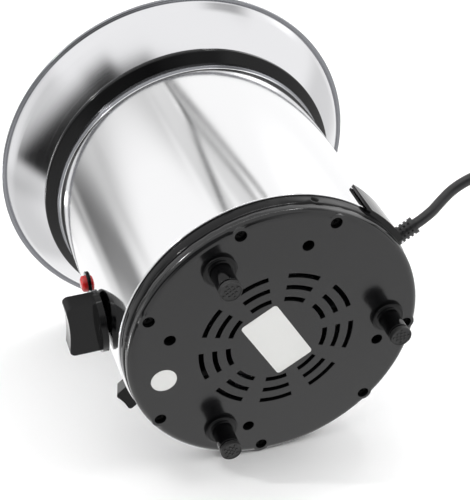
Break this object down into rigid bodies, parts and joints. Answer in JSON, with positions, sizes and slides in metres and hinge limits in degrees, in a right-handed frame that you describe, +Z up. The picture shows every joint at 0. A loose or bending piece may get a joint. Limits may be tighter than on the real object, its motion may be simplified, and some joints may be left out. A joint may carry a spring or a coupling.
{
  "type": "chocolate fountain base unit",
  "caption": "Base of a table chocolate fountain: a flared heated bowl with a driven spindle on a round steel body, with a heat knob, a motor knob, a lamp, levelling feet and a mains lead.",
  "frame": {"origin": "On the table under the axis of the bowl, where the three feet stand.", "axes": "+Z up along the bowl's axis and its drive spindle, -Y out of the heat knob and the pilot lamp, +X to the right of someone who faces the heat knob."},
  "size_m": [0.2878, 0.3992, 0.22],
  "materials": {
    "bowl_steel": "satin, with faint turned lines",
    "fixing_steel": "plain",
    "polished_steel": "polished, with faint turned lines",
    "black_gloss": "high gloss",
    "foot_rubber": "matt",
    "screw_black": "black oxide",
    "heater_aluminium": "cast",
    "element_sheath": "oxidised",
    "ceramic": "unglazed",
    "gear_plastic": "natural",
    "bush_bronze": "sintered",
    "shaft_steel": "ground",
    "seal_silicone": "silicone",
    "motor_iron": "stamped sheets",
    "coil_winding": "enamelled wire under tape",
    "fan_plastic": "moulded",
    "switch_plastic": "moulded",
    "lens_red": "clear red",
    "label_white": "coated, blank",
    "cord_black": "smooth"
  },
  "bodies": {
    "base_unit": {"bowl": "bowl_steel", "tower_studs": "fixing_steel", "stud_nuts": "fixing_steel", "lower_posts": "fixing_steel", "upper_posts": "fixing_steel", "motor_plate": "fixing_steel", "motor_brackets": "fixing_steel", "switch_nuts": "fixing_steel", "idler_pin": "fixing_steel", "body_sleeve": "polished_steel", "collar": "black_gloss", "base_ring": "black_gloss", "base_cover": "black_gloss", "lamp_bezel": "black_gloss", "cover_screws": "screw_black", "post_screws": "screw_black", "side_screws": "screw_black", "heater_plate": "heater_aluminium", "heater_element": "element_sheath", "thermostat": "ceramic", "thermal_fuse": "ceramic", "gear_case": "gear_plastic", "gear_case_lid": "gear_plastic", "spindle_bush": "bush_bronze", "motor_bushes": "bush_bronze", "shaft_seal": "seal_silicone", "stator_stack": "motor_iron", "motor_coil": "coil_winding", "heat_switch": "switch_plastic", "motor_switch": "switch_plastic", "lamp_holder": "switch_plastic", "cord_clamp": "switch_plastic", "terminal_block": "switch_plastic", "lamp_lens": "lens_red", "rating_label": "label_white", "round_sticker": "label_white", "cord_gland": "cord_black", "inner_cord": "cord_black", "power_cord": "cord_black", "cord_coil": "cord_black", "mains_plug": "cord_black"},
    "rotor_unit": {"rotor": "motor_iron", "rotor_shaft": "shaft_steel", "motor_pinion": "bush_bronze", "cooling_fan": "fan_plastic"},
    "idler_unit": {"idler_gear": "gear_plastic"},
    "spindle_unit": {"drive_spindle": "shaft_steel", "drive_pin": "shaft_steel", "output_wheel": "gear_plastic"},
    "heat_control": {"heat_knob": "black_gloss", "heat_shaft": "shaft_steel"},
    "motor_control": {"motor_knob": "black_gloss", "motor_knob_shaft": "shaft_steel"},
    "foot_1": {"foot_stem_1": "black_gloss", "foot_pad_1": "foot_rubber"},
    "foot_2": {"foot_stem_2": "black_gloss", "foot_pad_2": "foot_rubber"},
    "foot_3": {"foot_stem_3": "black_gloss", "foot_pad_3": "foot_rubber"}
  },
  "joints": [
    {"name": "rotor_spin", "type": "hinge", "parent": "base_unit", "child": "rotor_unit", "pos_m": [-0.02382, -0.0106, 0.105], "axis": [0, 0, 1], "continuous": true},
    {"name": "idler_spin", "type": "hinge", "parent": "base_unit", "child": "idler_unit", "pos_m": [-0.0249, 0.01438, 0.138], "axis": [0, 0, 1], "continuous": true},
    {"name": "spindle_spin", "type": "hinge", "parent": "base_unit", "child": "spindle_unit", "pos_m": [0, 0, 0.16], "axis": [0, 0, 1], "continuous": true},
    {"name": "heat_knob_turn", "type": "hinge", "parent": "base_unit", "child": "heat_control", "pos_m": [0, -0.0897, 0.069], "axis": [0, -1, 0], "range_deg": [-90, 90]},
    {"name": "motor_knob_turn", "type": "hinge", "parent": "base_unit", "child": "motor_control", "pos_m": [-0.05547, -0.07024, 0.069], "axis": [-0.6198, -0.7848, 0], "range_deg": [-22, 68]},
    {"name": "foot_lift_1", "type": "slide", "parent": "base_unit", "child": "foot_1", "axis": [0, 0, -1], "range_m": [0, 0.005]},
    {"name": "foot_lift_2", "type": "slide", "parent": "base_unit", "child": "foot_2", "axis": [0, 0, -1], "range_m": [0, 0.005]},
    {"name": "foot_lift_3", "type": "slide", "parent": "base_unit", "child": "foot_3", "axis": [0, 0, -1], "range_m": [0, 0.005]}
  ],
  "couplings": [
    {"joint": "idler_spin", "follows": "rotor_spin", "ratio": -0.25},
    {"joint": "spindle_spin", "follows": "rotor_spin", "ratio": 0.069444}
  ]
}
